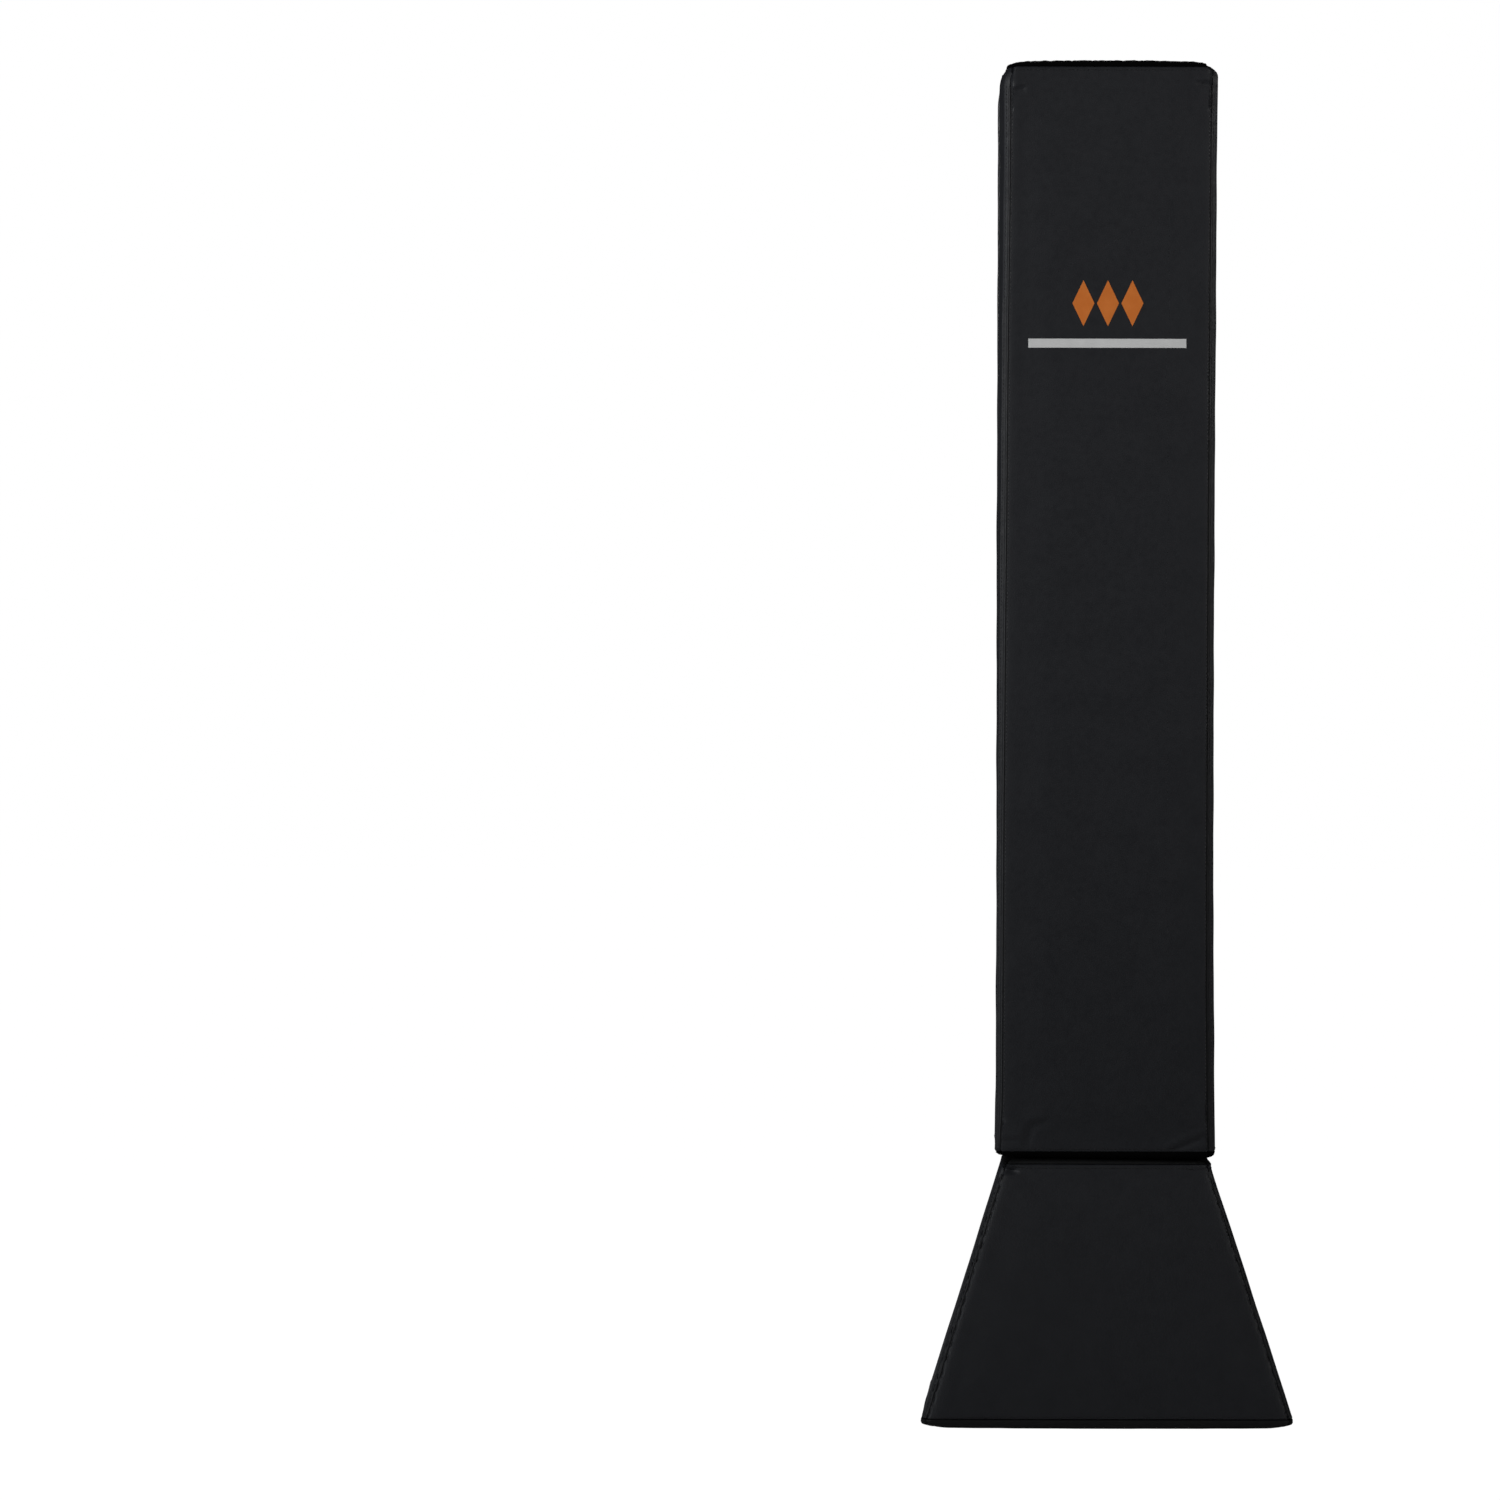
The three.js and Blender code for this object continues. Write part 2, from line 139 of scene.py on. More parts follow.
def add_sky():
    sky = bpy.data.worlds.new("sky")
    sky.use_nodes = True
    sky.node_tree.nodes.clear()
    seen = add_node(sky, "LightPath").outputs["Is Camera Ray"]
    strength = add_node(sky, "MapRange", {"Value": seen, "To Min": sky_light, "To Max": sky_seen})
    paint = add_node(sky, "Background", {"Color": (1, 1, 1, 1), "Strength": strength.outputs["Result"]})
    add_node(sky, "OutputWorld", {"Surface": paint.outputs["Background"]})
    scene.world = sky


def add_floor():
    bpy.ops.mesh.primitive_plane_add(size=floor_size)
    floor = bpy.context.object
    floor.name = "floor"
    paper = bpy.data.materials.new("floor_paper")
    paper.use_nodes = True
    paper.node_tree.nodes.clear()
    seen = add_node(paper, "LightPath").outputs["Is Camera Ray"]
    share = add_node(paper, "MapRange", {"Value": seen, "To Min": 0.0, "To Max": floor_glow_share})
    matt = add_node(paper, "BsdfDiffuse", {"Color": floor_colour})
    glow = add_node(paper, "Emission", {"Color": (1, 1, 1, 1), "Strength": floor_glow})
    both = add_node(paper, "MixShader", {0: share.outputs["Result"], 1: matt.outputs[0], 2: glow.outputs[0]})
    add_node(paper, "OutputMaterial", {"Surface": both.outputs[0]})
    floor.data.materials.append(paper)


def add_light(name, place, target, size, power, spread, colour=(1, 1, 1)):
    """A soft box: its size in metres, its power in watts and its spread in degrees."""
    bpy.ops.object.light_add(type="AREA", location=place)
    light = bpy.context.object
    light.name = name
    light.data.shape = "RECTANGLE"
    light.data.size, light.data.size_y = size
    light.data.energy = power
    light.data.color = colour
    light.data.spread = math.radians(spread)
    towards = Vector(target) - Vector(place)
    light.rotation_euler = towards.to_track_quat("-Z", "Y").to_euler()


upper_pad = (0, 0, 1.35)
box_size = (0.9, 1.4)
add_sky()
add_floor()
add_light("left_soft_box", (-2.3, -2.0, 2.0), upper_pad, box_size, 3.8, 64)
add_light("right_soft_box", (2.3, -2.4, 2.0), upper_pad, box_size, 2.2, 64)
add_light("left_strip", (-3.0, -1.3, 1.4), (0, -0.1, 0.8), (0.3, 2.4), 7.5, 100, (0.9, 0.95, 1.0))
add_light("right_strip", (2.8, -1.1, 2.2), (0.1, -0.2, 1.3), (0.3, 1.6), 2.6, 70)
add_light("back_soft_box", (0, 3.2, 2.2), (0, 0, 0.9), (0.8, 1.4), 5, 68)
print("five lights over a white floor")

# %% [markdown]
# ## Working on one piece
# Blender's operators act on all that is selected, and the frame's own nodes arrive selected. So each step
# first selects its piece alone. Small helpers read a mesh's points and write them back, apply a modifier,
# start a grid, give a surface its thickness, and dress a finished piece in its material and body.

# %% Selecting, reading and applying
smooth_angle = math.radians(50)
merge_distance = mm / 100


def use(*pieces):
    bpy.ops.object.select_all(action="DESELECT")
    for piece in pieces:
        piece.select_set(True)
    bpy.context.view_layer.objects.active = pieces[-1]


def points_of(mesh, kind="co"):
    """One row for each point: its place, or its normal when that kind is asked for."""
    flat = np.zeros(len(mesh.vertices) * 3)
    mesh.vertices.foreach_get(kind, flat)
    return flat.reshape(-1, 3)


def set_points(mesh, points):
    mesh.vertices.foreach_set("co", points.ravel())
    mesh.update()


def apply_modifiers(piece):
    use(piece)
    for modifier in list(piece.modifiers):
        bpy.ops.object.modifier_apply(modifier=modifier.name)


def modify(piece, kind, **settings):
    modifier = piece.modifiers.new(kind.lower(), kind)
    for key, value in settings.items():
        setattr(modifier, key, value)
    apply_modifiers(piece)


def edit(piece, how):
    use(piece)
    bpy.ops.object.mode_set(mode="EDIT")
    bpy.ops.mesh.select_all(action="SELECT")
    how()
    bpy.ops.object.mode_set(mode="OBJECT")


def copy_of(node, name):
    """A new piece with the mesh of a CAD node, its loose triangles merged."""
    piece = bpy.data.objects.new(name, frame["nodes"][node].data.copy())
    scene.collection.objects.link(piece)
    piece.data.materials.clear()
    edit(piece, merge_triangles)
    return piece


def merge_triangles():
    bpy.ops.mesh.customdata_custom_splitnormals_clear()
    bpy.ops.mesh.remove_doubles(threshold=merge_distance)


def join(pieces):
    """All these pieces as one, under the first one's name."""
    use(*pieces[1:], pieces[0])
    bpy.ops.object.join()
    return pieces[0]


def twin_of(piece, name):
    twin = bpy.data.objects.new(name, piece.data.copy())
    scene.collection.objects.link(twin)
    return twin


def new_grid(name, columns, rows):
    """A grid from -1 to 1 each way, to be laid in its place point by point."""
    bpy.ops.object.select_all(action="DESELECT")
    bpy.ops.mesh.primitive_grid_add(x_subdivisions=columns, y_subdivisions=rows)
    bpy.context.object.name = name
    return bpy.context.object


def thicken(piece, thickness):
    modify(piece, "SOLIDIFY", thickness=thickness, offset=0)
    edit(piece, lambda: bpy.ops.mesh.normals_make_consistent(inside=False))


def shade(piece, material):
    piece.data.materials.clear()
    piece.data.materials.append(material)
    use(piece)
    bpy.ops.object.shade_smooth_by_angle(angle=smooth_angle)


def dress(piece, material, body):
    shade(piece, material)
    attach(piece, body)


# %% [markdown]
# ## Materials
# The vinyl is polyester cloth under a coat of soft PVC, embossed with a fine leather grain. An image of
# leather could be used, but a procedural grain has no seams between its tiles, and its size is a real one:
# pebbles of about a millimetre, set by a Voronoi pattern, over shallow dents of a few centimetres. The
# corner seams and the flared pad's end strips are the same stuff, darker. On the corner seams that darker
# colour is painted shade for the seam's valley; the end strips are near-black, black vinyl made darker
# still as painted shade for the joint under the main pad. Every pattern reads Object coordinates, so it is
# fixed to the piece in real metres.

# %% Coated vinyl


def new_material(name):
    material = bpy.data.materials.new(name)
    material.use_nodes = True
    material.node_tree.nodes.clear()
    return material


def ranged(material, value, low, high):
    """A texture's value, from 0.3 to 0.7, spread from low to high."""
    inputs = {"Value": value, "From Min": 0.3, "From Max": 0.7, "To Min": low, "To Max": high}
    return add_node(material, "MapRange", inputs).outputs["Result"]


def voronoi(material, place, size, feature):
    """A field of cells of about this size, in metres: how far each place is from its cell's middle."""
    cells = add_node(material, "TexVoronoi", {"Vector": place, "Scale": 1 / size}, feature=feature)
    return cells.outputs["Distance"]


def two_tone(material, value, dark, light):
    ramp = add_node(material, "ValToRGB", {"Fac": value})
    ramp.color_ramp.elements[0].color = (*dark, 1)
    ramp.color_ramp.elements[1].color = (*light, 1)
    ramp.color_ramp.elements[0].position = 0.35
    ramp.color_ramp.elements[1].position = 0.65
    return ramp.outputs["Color"]


def object_place(material):
    return add_node(material, "TexCoord").outputs["Object"]


def noise(material, place, size, detail=2.0):
    """A cloudy pattern whose clouds are about this size, in metres."""
    clouds = add_node(material, "TexNoise", {"Vector": place, "Scale": 1 / size, "Detail": detail})
    return clouds.outputs["Fac"]


def bump(material, height, depth, under=None):
    inputs = {"Height": height, "Distance": depth, "Strength": 1.0}
    if under is not None:
        inputs["Normal"] = under
    return add_node(material, "Bump", inputs).outputs["Normal"]


def finish_material(material, colour, roughness, normal, **shader_values):
    inputs = {"Base Color": colour, "Roughness": roughness, "Normal": normal}
    for key, value in shader_values.items():
        inputs[key.replace("_", " ")] = value
    shader = add_node(material, "BsdfPrincipled", inputs)
    add_node(material, "OutputMaterial", {"Surface": shader.outputs["BSDF"]})
    return material


def coated_vinyl(name, dark, light, rough):
    material = new_material(name)
    place = object_place(material)
    pebbles = voronoi(material, place, 1.3 * mm, "SMOOTH_F1")
    wrinkles = noise(material, place, 7 * mm, 3.0)
    dents = noise(material, place, 55 * mm)
    normal = bump(material, dents, 0.7 * mm)
    normal = bump(material, wrinkles, 0.14 * mm, normal)
    normal = bump(material, pebbles, 0.12 * mm, normal)
    colour = two_tone(material, noise(material, place, 28 * mm, 5.0), dark, light)
    roughness = ranged(material, wrinkles, rough - 0.05, rough + 0.07)
    return finish_material(material, colour, roughness, normal, Specular_IOR_Level=0.42)


face_vinyl = coated_vinyl("face_vinyl", (0.0160, 0.0169, 0.0206), (0.0187, 0.0197, 0.0236), 0.57)
# Darker than the face vinyl: painted shade for the valley of a corner seam.
bead_vinyl_painted_shade = coated_vinyl("bead_vinyl_painted_shade", (0.0085, 0.0088, 0.0105), (0.012, 0.0123, 0.0145), 0.52)
# Near-black: black binding vinyl, darker still as painted shade in the joint under the main pad.
hem_vinyl_and_painted_shade = coated_vinyl("hem_vinyl_and_painted_shade", (0.0012, 0.0013, 0.0016), (0.0018, 0.0019, 0.0023), 0.62)
print("vinyl for the faces, the corner seams and the hem")

# %% [markdown]
# ## Cloth, tape and thread
# Linings, straps and edge tape are woven, so they show threads that cross: two sets of waves at right
# angles, which add up to a field of small bumps. Webbing is the coarsest and edge tape the finest. Edge
# tape is near-black: black tape, darker still as painted shade where it binds the main pad's ends. Hook
# tape is a field of stiff pips and loop tape is a matted fuzz, so one has a sharp pattern and the other a
# soft one. Thread is a plain twisted cord.

# %% Woven and sewn materials
bands_per_scale = 3.18


def waves(material, place, direction, pitch):
    """Bands that repeat at this pitch, in metres, along X, Y or Z."""
    scale = 1 / (pitch * bands_per_scale)
    inputs = {"Vector": place, "Scale": scale, "Distortion": 0.6, "Detail": 1.0, "Detail Scale": 2.0}
    return add_node(material, "TexWave", inputs, bands_direction=direction).outputs["Fac"]


def woven(name, dark, light, pitch, depth, rough, specular=0.3):
    material = new_material(name)
    place = object_place(material)
    warp = waves(material, place, "X", pitch)
    weft = waves(material, place, "Z", pitch)
    crossing = add_node(material, "Math", {0: warp, 1: weft}, operation="MULTIPLY").outputs[0]
    normal = bump(material, noise(material, place, 40 * mm), 0.8 * mm)
    normal = bump(material, crossing, depth, normal)
    colour = two_tone(material, crossing, dark, light)
    roughness = ranged(material, noise(material, place, 9 * mm), rough - 0.05, rough + 0.05)
    return finish_material(material, colour, roughness, normal, Specular_IOR_Level=specular)


def pile(name, dark, light, size, depth, rough, feature):
    """The face of hook tape or loop tape: a field of pips, or a matted fuzz."""
    material = new_material(name)
    place = object_place(material)
    pips = voronoi(material, place, size, feature)
    normal = bump(material, pips, depth)
    colour = two_tone(material, pips, light, dark)
    roughness = ranged(material, noise(material, place, 4 * mm), rough - 0.05, rough + 0.05)
    return finish_material(material, colour, roughness, normal, Sheen_Weight=0.12, Specular_IOR_Level=0.25)


def sewing_thread(name, dark, light):
    material = new_material(name)
    place = object_place(material)
    twist = waves(material, place, "DIAGONAL", 0.45 * mm)
    colour = two_tone(material, noise(material, place, 6 * mm), dark, light)
    roughness = ranged(material, twist, 0.5, 0.62)
    return finish_material(material, colour, roughness, bump(material, twist, 0.08 * mm))


# Near-black: black tape, darker still as painted shade on the main pad's top band and in the joint below it.
tape_and_shade_tones = (0.0009, 0.0009, 0.001), (0.0022, 0.0022, 0.0025)
lining_tones = (0.012, 0.0125, 0.014), (0.03, 0.031, 0.034)
webbing_tones = (0.005, 0.0052, 0.006), (0.016, 0.0165, 0.018)
hook_tones = (0.004, 0.004, 0.005), (0.02, 0.02, 0.022)
loop_tones = (0.007, 0.007, 0.008), (0.022, 0.022, 0.024)
edge_tape_and_painted_shade = woven("edge_tape_and_painted_shade", *tape_and_shade_tones, 0.8 * mm, 0.12 * mm, 0.95, specular=0.08)
lining_cloth = woven("lining_cloth", *lining_tones, 1.1 * mm, 0.2 * mm, 0.9)
strap_webbing = woven("strap_webbing", *webbing_tones, 1.9 * mm, 0.4 * mm, 0.75)
hook_face = pile("hook_face", *hook_tones, 1.3 * mm, 0.6 * mm, 0.6, "F1")
loop_face = pile("loop_face", *loop_tones, 0.7 * mm, 0.3 * mm, 0.9, "SMOOTH_F1")
grey_thread = sewing_thread("grey_thread", (0.035, 0.035, 0.037), (0.06, 0.06, 0.063))
black_thread = sewing_thread("black_thread", (0.008, 0.008, 0.009), (0.014, 0.014, 0.015))
print("edge tape, lining, webbing, hook and loop tape, two threads")

# %% [markdown]
# ## Where the seams lie
# A wing folds on its corner seam, so the frame's fold joints say where those seams are, also where they
# slant on the flared pad. The end seams are flat cuts just under the top strips and just over the bottom
# ones. A wing of the flared pad is cut square to its leaning face, so its top seam slants as well.

# %% Seams from the frame
sides = {"front": 0, "left_wing": -1, "right_wing": 1}
bottom_strip = {"main": "bottom_boxing", "gusset": "hem"}


def corner_seams():
    """Each corner seam as a point and a direction that goes up, by pad and side."""
    seams = {}
    for joint in frame["joints"]:
        if joint["name"].endswith("_wing_fold"):
            pad, side = joint["name"].split("_")[:2]
            point, up = Vector(joint["pos_m"]), Vector(joint["axis"]).normalized()
            up = up if up.z > 0 else -up
            seams[pad, -1 if side == "left" else 1] = (point - up * (point.z / up.z), up)
    return seams


seams = corner_seams()


def on_seam(pad, side, height):
    point, up = seams[pad, side]
    return point + up * (height / up.z)


def distance_to_seam(points, pad, side):
    point, up = seams[pad, side]
    return np.linalg.norm(np.cross(points - np.array(point), np.array(up)), axis=1)


def end_seams(pad, name):
    """The flat cuts between a panel's cover and its end strips: a point and an upward normal each."""
    low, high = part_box(f"{pad}_{name}_cover")
    side = sides[name]
    slope = seams[pad, -1][1].x / seams[pad, -1][1].z
    lean = -side * slope
    face = high.x if side > 0 else low.x
    edge = face if side == 0 else on_seam(pad, side, high.z).x
    top = (Vector((edge, 0, high.z)), Vector((lean, 0, 1)).normalized())
    bottom = (Vector((0, 0, low.z)), Vector((0, 0, 1)))
    return bottom, top


print({key: [round(x, 3) for x in seam[1]] for key, seam in seams.items()})

# %% [markdown]
# ## Reading the photograph
# The creases and the corners are placed by where they show in the photograph. The camera's lens and its
# distance say how many pixels a metre on the front's plane takes, so a pixel can be read as a place there.

# %% Places in the photograph
pixels_per_metre = lens / sensor * photo_pixels / eye_distance


def on_face(across, down):
    """A pixel of the photograph as a place on the front's plane: to the right of the axis, and up."""
    return np.array([(across - pad_axis_pixel), (horizon_pixel - down)]) / pixels_per_metre + (0, eye_height)


# %% [markdown]
# ## Creases and tucks
# Vinyl that has been packed and strapped keeps a few creases, always near a corner where the cloth has
# slack. Each one is a line on the front's face, given by its two ends, its width and its depth: a valley,
# with the cloth heaped up beside it. They are moved by formula after the simulation, because a simulation
# would put them somewhere else. Long shallow waves, well under a millimetre high, make the bright line on
# the edge waver as it does on the real one.

# %% Creases and tucks
crease_reach = 14 * mm
crease_taper = 0.35
crease_blunt = 0.15
ridge_share = 0.55
ridge_away = 1.9
ridge_wide = 1.2
wave_height = 0.15 * mm
creases = {
    "main": [
        ((1007, 92), (1025, 87), 3.0 * mm, 2.2 * mm),
        ((1192, 82), (1216, 85), 3.0 * mm, 2.0 * mm),
        ((1164, 1153), (1211, 1133), 3.2 * mm, 2.0 * mm),
        ((998, 1139), (1022, 1143), 3.0 * mm, 1.5 * mm),
        ((1028, 1148), (1032, 1126), 4.2 * mm, 1.3 * mm),
        ((1028, 1128), (1052, 1121), 4.0 * mm, 1.3 * mm),
    ],
    "gusset": [
        ((994, 1170), (1020, 1172), 3.4 * mm, 5.0 * mm),
        ((1078, 1176), (1178, 1178), 5.0 * mm, 0.5 * mm),
        ((1188, 1167), (1212, 1165), 2.4 * mm, 1.4 * mm),
    ],
}


def eased(share):
    """A share from 0 to 1 that leaves 0 and reaches 1 gently."""
    share = np.clip(share, 0, 1)
    return share * share * (3 - 2 * share)


def crease_depth(across, up, start, end, width, depth):
    """How far a crease pushes each place in, with a smaller ridge above it."""
    start, end = on_face(*start), on_face(*end)
    along = end - start
    length = np.linalg.norm(along)
    along = along / length
    beside = np.array([-along[1], along[0]])
    if beside[1] < 0:
        beside = -beside
    run = (across - start[0]) * along[0] + (up - start[1]) * along[1]
    off = (across - start[0]) * beside[0] + (up - start[1]) * beside[1]
    fade = eased(np.minimum(run, length - run) / (crease_taper * length) + crease_blunt)
    valley = np.exp(-((off / width) ** 2))
    ridge = np.exp(-(((off - ridge_away * width) / (ridge_wide * width)) ** 2))
    return depth * fade * (valley - ridge_share * ridge)


def long_waves(across, up):
    slanting = np.sin(up * 47 + across * 21 + 1.3) + np.sin(up * 23 - across * 33)
    return wave_height * (slanting + 0.7 * np.sin(up * 91 + across * 9))


def creased(points, pad, name):
    """The points with the panel's long waves, and on a front its creases too."""
    side = sides[name]
    out = np.array((0, -1, 0)) if side == 0 else np.array((side, 0, 0))
    across = points[:, 0] if side == 0 else points[:, 1]
    up = points[:, 2]
    on_the_face = np.clip(1 - depth_in_board(points, pad, name) / crease_reach, 0, 1)
    push = -long_waves(across, up)
    if side == 0:
        for crease in creases[pad]:
            push = push + crease_depth(across, up, *crease)
    return points - out * (push * on_the_face)[:, None]


# %% [markdown]
# ## How the pads hang
# A strapped pad is never quite true. On this one the left seam has been pulled round to the front near the
# top, the right wing is drawn in at half height, the joint between the pads sinks to the right, and each
# top corner has its own shape. These are small moves, so they are tables of a height in metres and a move
# in millimetres, read by interpolation. A corner's own move is a pixel, a move and a reach, all in pixels
# of the photograph. Every later piece that follows a seam asks for its worn place.

# %% Hanging, resting and pulled seams
seam_pulls = {
    ("main", -1): [
        (0.35, -3.2), (0.5, -2.8), (0.7, -2), (0.83, -0.8), (1.0, 0.8), (1.18, 2), (1.3, 3), (1.5, 5),
    ],
    ("main", 1): [(0.3, 1.5), (0.49, 1.5), (0.83, -0.5), (1.57, -1.0)],
}
no_pull = [(0.0, 0.0)]
wing_moves = {
    -1: [(0.312, -1.1), (0.33, -0.6), (0.37, 0.6), (0.72, 0.7), (0.95, 0.35), (1.18, 0.5), (1.41, 0.8)],
    1: [
        (0.33, 0.9), (0.37, 0.2), (0.49, -0.9), (0.72, -2.1), (0.95, -2.1), (1.18, -1.2), (1.41, -0.2),
        (1.54, 0.4),
    ],
}
corner_moves = {
    "main": [((1003, 68), 3.0, 6.5), ((1216, 73), 1.4, 7), ((1209, 64), -4.5, 3.5)],
    "gusset": [((1208, 1159), 8.0, 5), ((921, 1414), -1.6, 7)],
}
pull_reach = 30 * mm
forward_of_pull = 0.25
wing_start = 50 * mm
wing_spread = 60 * mm
joint_height = 303.15 * mm
joint_sink = 0.010
joint_reach = 110 * mm
floor_gap = 0.2 * mm
resting_stretch = 0.35
small_stretch = 0.12


def by_height(table, up):
    heights, moves = zip(*table)
    return np.interp(up, heights, moves) * mm


def hung(points, pad):
    """The points of a pad, moved as it hangs."""
    moved = points.copy()
    up = points[:, 2]
    for side in (-1, 1):
        pull = by_height(seam_pulls.get((pad, side), no_pull), up)
        near = eased(1 - distance_to_seam(points, pad, side) / pull_reach)
        moved[:, 0] -= side * pull * near
        moved[:, 1] -= forward_of_pull * np.maximum(pull, 0) * near
        if pad == "main":
            outwards = eased((side * points[:, 0] - wing_start) / wing_spread)
            moved[:, 0] += by_height(wing_moves[side], up) * outwards
    for pixel, move, reach in corner_moves[pad]:
        across, height = on_face(*pixel)
        far = np.hypot(points[:, 0] - across, up - height) * pixels_per_metre
        moved[:, 0] += np.exp(-((far / reach) ** 2)) * move / pixels_per_metre
    moved[:, 2] -= joint_sink * points[:, 0] * eased(1 - abs(up - joint_height) / joint_reach)
    return moved


def rested(points, pad, name):
    """The end strips at their full height, and flat where one pad rests on the other."""
    (low, _), (high, _) = end_seams(pad, name)
    up = points[:, 2]
    below = np.minimum(up - low.z, 0)
    above = np.maximum(up - high.z, 0)
    if pad == "main":
        rise = resting_stretch * below - small_stretch * above
    else:
        rise = small_stretch * below + (resting_stretch * above if name == "front" else 0)
    return points + np.stack((0 * up, 0 * up, rise), axis=1)


def worn(points, pad, name):
    """The points with creases, resting on each other and hanging as strapped."""
    points = rested(creased(points, pad, name), pad, name)
    if pad == "main":
        points[:, 2] = np.maximum(points[:, 2], joint_height)
    else:
        points[:, 2] = np.clip(points[:, 2], floor_gap, joint_height)
    return hung(points, pad)


# %% [markdown]
# ## Padding the boards
# A pad is foam in a tight bag: the vinyl is held at its seams and pushed out between them. It could be
# modelled by pulling single points, but the soft hollows beside a seam are what cloth does by itself. So
# each board starts as a panel's cover, foam and end strips, which one voxel remesh turns into a single skin
# of even squares. Cloth simulation blows it up a little while its seams and its pole side are pinned, and a
# cap keeps it from standing out further than the real one does. The right wing is a mirror image.

# %% Blowing up one board
voxel = {"main": 6 * mm, "gusset": 5 * mm}
swell_caps = {"front": 2.0 * mm, "left_wing": 0.4 * mm}
seam_pin_reach = 4.5 * mm
end_pin_reach = 4 * mm
hull_voxel = 2 * mm
hold_firm = 8 * mm
hold_reach = 60 * mm
pole_side_share = 0.62
board_thickness = {"main": 46 * mm, "gusset": 36 * mm}
cloth_frames = 20
cloth_pressure = 4
cloth_stiffness = 25
cloth_slack = 0.012


def depth_in_board(points, pad, name):
    """How far each point lies behind the plane of the corner seams."""
    side = sides[name]
    point, up = seams[pad, -1]
    half = -point.x - points[:, 2] * (up.x / up.z)
    return half + points[:, 1] if side == 0 else half - side * points[:, 0]


def seam_sides(name):
    """The corner seams that a panel touches: both for a front, its own for a wing."""
    return (-1, 1) if sides[name] == 0 else (sides[name],)


def pinned_points(points, pad, name):
    near_seam = np.zeros(len(points), bool)
    for seam_side in seam_sides(name):
        near_seam |= distance_to_seam(points, pad, seam_side) < seam_pin_reach
    near_pole = depth_in_board(points, pad, name) > pole_side_share * board_thickness[pad]
    near_end = np.zeros(len(points), bool)
    for point, normal in end_seams(pad, name):
        near_end |= abs((points - np.array(point)) @ np.array(normal)) < end_pin_reach
    return near_seam | near_pole | near_end


def held_share(points, pad, name):
    """How firmly each point is held to the board's shape: wholly at a seam or an end, not further in."""
    nearest = np.full(len(points), 1.0)
    for seam_side in seam_sides(name):
        nearest = np.minimum(nearest, distance_to_seam(points, pad, seam_side))
    for (point, normal), sign in zip(end_seams(pad, name), (1, -1)):
        nearest = np.minimum(nearest, np.maximum(sign * ((points - np.array(point)) @ np.array(normal)), 0))
    return eased((hold_reach - nearest) / (hold_reach - hold_firm))


def blow_up(piece, pad, name):
    rest = points_of(piece.data)
    pins = piece.vertex_groups.new(name="seams")
    pins.add(np.flatnonzero(pinned_points(rest, pad, name)).tolist(), 1.0, "REPLACE")
    cloth = piece.modifiers.new("vinyl", "CLOTH")
    cloth.settings.vertex_group_mass = pins.name
    cloth.settings.use_pressure = True
    cloth.settings.uniform_pressure_force = cloth_pressure
    cloth.settings.tension_stiffness = cloth_stiffness
    cloth.settings.compression_stiffness = cloth_stiffness
    cloth.settings.shrink_min = -cloth_slack
    cloth.settings.effector_weights.gravity = 0
    cloth.point_cache.frame_end = cloth_frames
    for n in range(1, cloth_frames + 1):
        scene.frame_set(n)
    blown = points_of(piece.evaluated_get(bpy.context.evaluated_depsgraph_get()).data)
    piece.modifiers.remove(cloth)
    piece.vertex_groups.clear()
    scene.frame_set(1)
    return blown - rest


def capped(moves, cap):
    length = np.linalg.norm(moves, axis=1, keepdims=True)
    return moves * (cap * np.tanh(length / cap) / np.maximum(length, 1e-9))


def pad_board(pad, name):
    shell = ["cover", "foam", "top_boxing", bottom_strip[pad]]
    piece = join([copy_of(f"{pad}_{name}_{part}", f"{pad}_{name}_{part}_copy") for part in shell])
    piece.name = f"{pad}_{name}_board"
    hull = twin_of(piece, "hull")
    modify(hull, "REMESH", mode="VOXEL", voxel_size=hull_voxel)
    modify(piece, "REMESH", mode="VOXEL", voxel_size=voxel[pad])
    modify(piece, "SMOOTH", iterations=1, factor=0.5)
    modify(piece, "SHRINKWRAP", target=hull, wrap_method="NEAREST_SURFACEPOINT")
    rest = points_of(piece.data)
    cap = swell_caps[name]
    moves = blow_up(piece, pad, name)
    set_points(piece.data, rest + capped(moves, cap))
    modify(piece, "SUBSURF", levels=1, render_levels=1)
    held = piece.vertex_groups.new(name="held")
    for n, weight in enumerate(held_share(points_of(piece.data), pad, name)):
        if weight > 0:
            held.add([n], weight, "REPLACE")
    modify(piece, "SHRINKWRAP", target=hull, wrap_method="NEAREST_SURFACEPOINT", vertex_group="held")
    piece.vertex_groups.clear()
    bpy.data.objects.remove(hull)
    return piece


def mirrored(piece, name):
    """A copy for the other side of the pad, with its faces turned the right way out again."""
    other = twin_of(piece, name)
    set_points(other.data, points_of(other.data) * (-1, 1, 1))
    edit(other, bpy.ops.mesh.flip_normals)
    return other


boards = {}
for pad in voxel:
    boards[pad, "front"] = pad_board(pad, "front")
    boards[pad, "left_wing"] = pad_board(pad, "left_wing")
    boards[pad, "right_wing"] = mirrored(boards[pad, "left_wing"], f"{pad}_right_wing_board")
for key, board in boards.items():
    set_points(board.data, worn(points_of(board.data), *key))
    print(*key, len(board.data.vertices), "points")

# %% [markdown]
# ## Cutting the boards at their end seams
# Each board becomes three pieces: the large cover, and the strips of vinyl that close its two ends. A
# bisect cuts the mesh and fills the cut, and a small inset pushes the filled face back out with a bevelled
# rim. Two such rims face to face make the narrow valley that a sewn seam has. The main pad's ends are bound
# with woven tape, whose cut edge has frayed at the top, so a cloudy displacement makes that edge ragged.

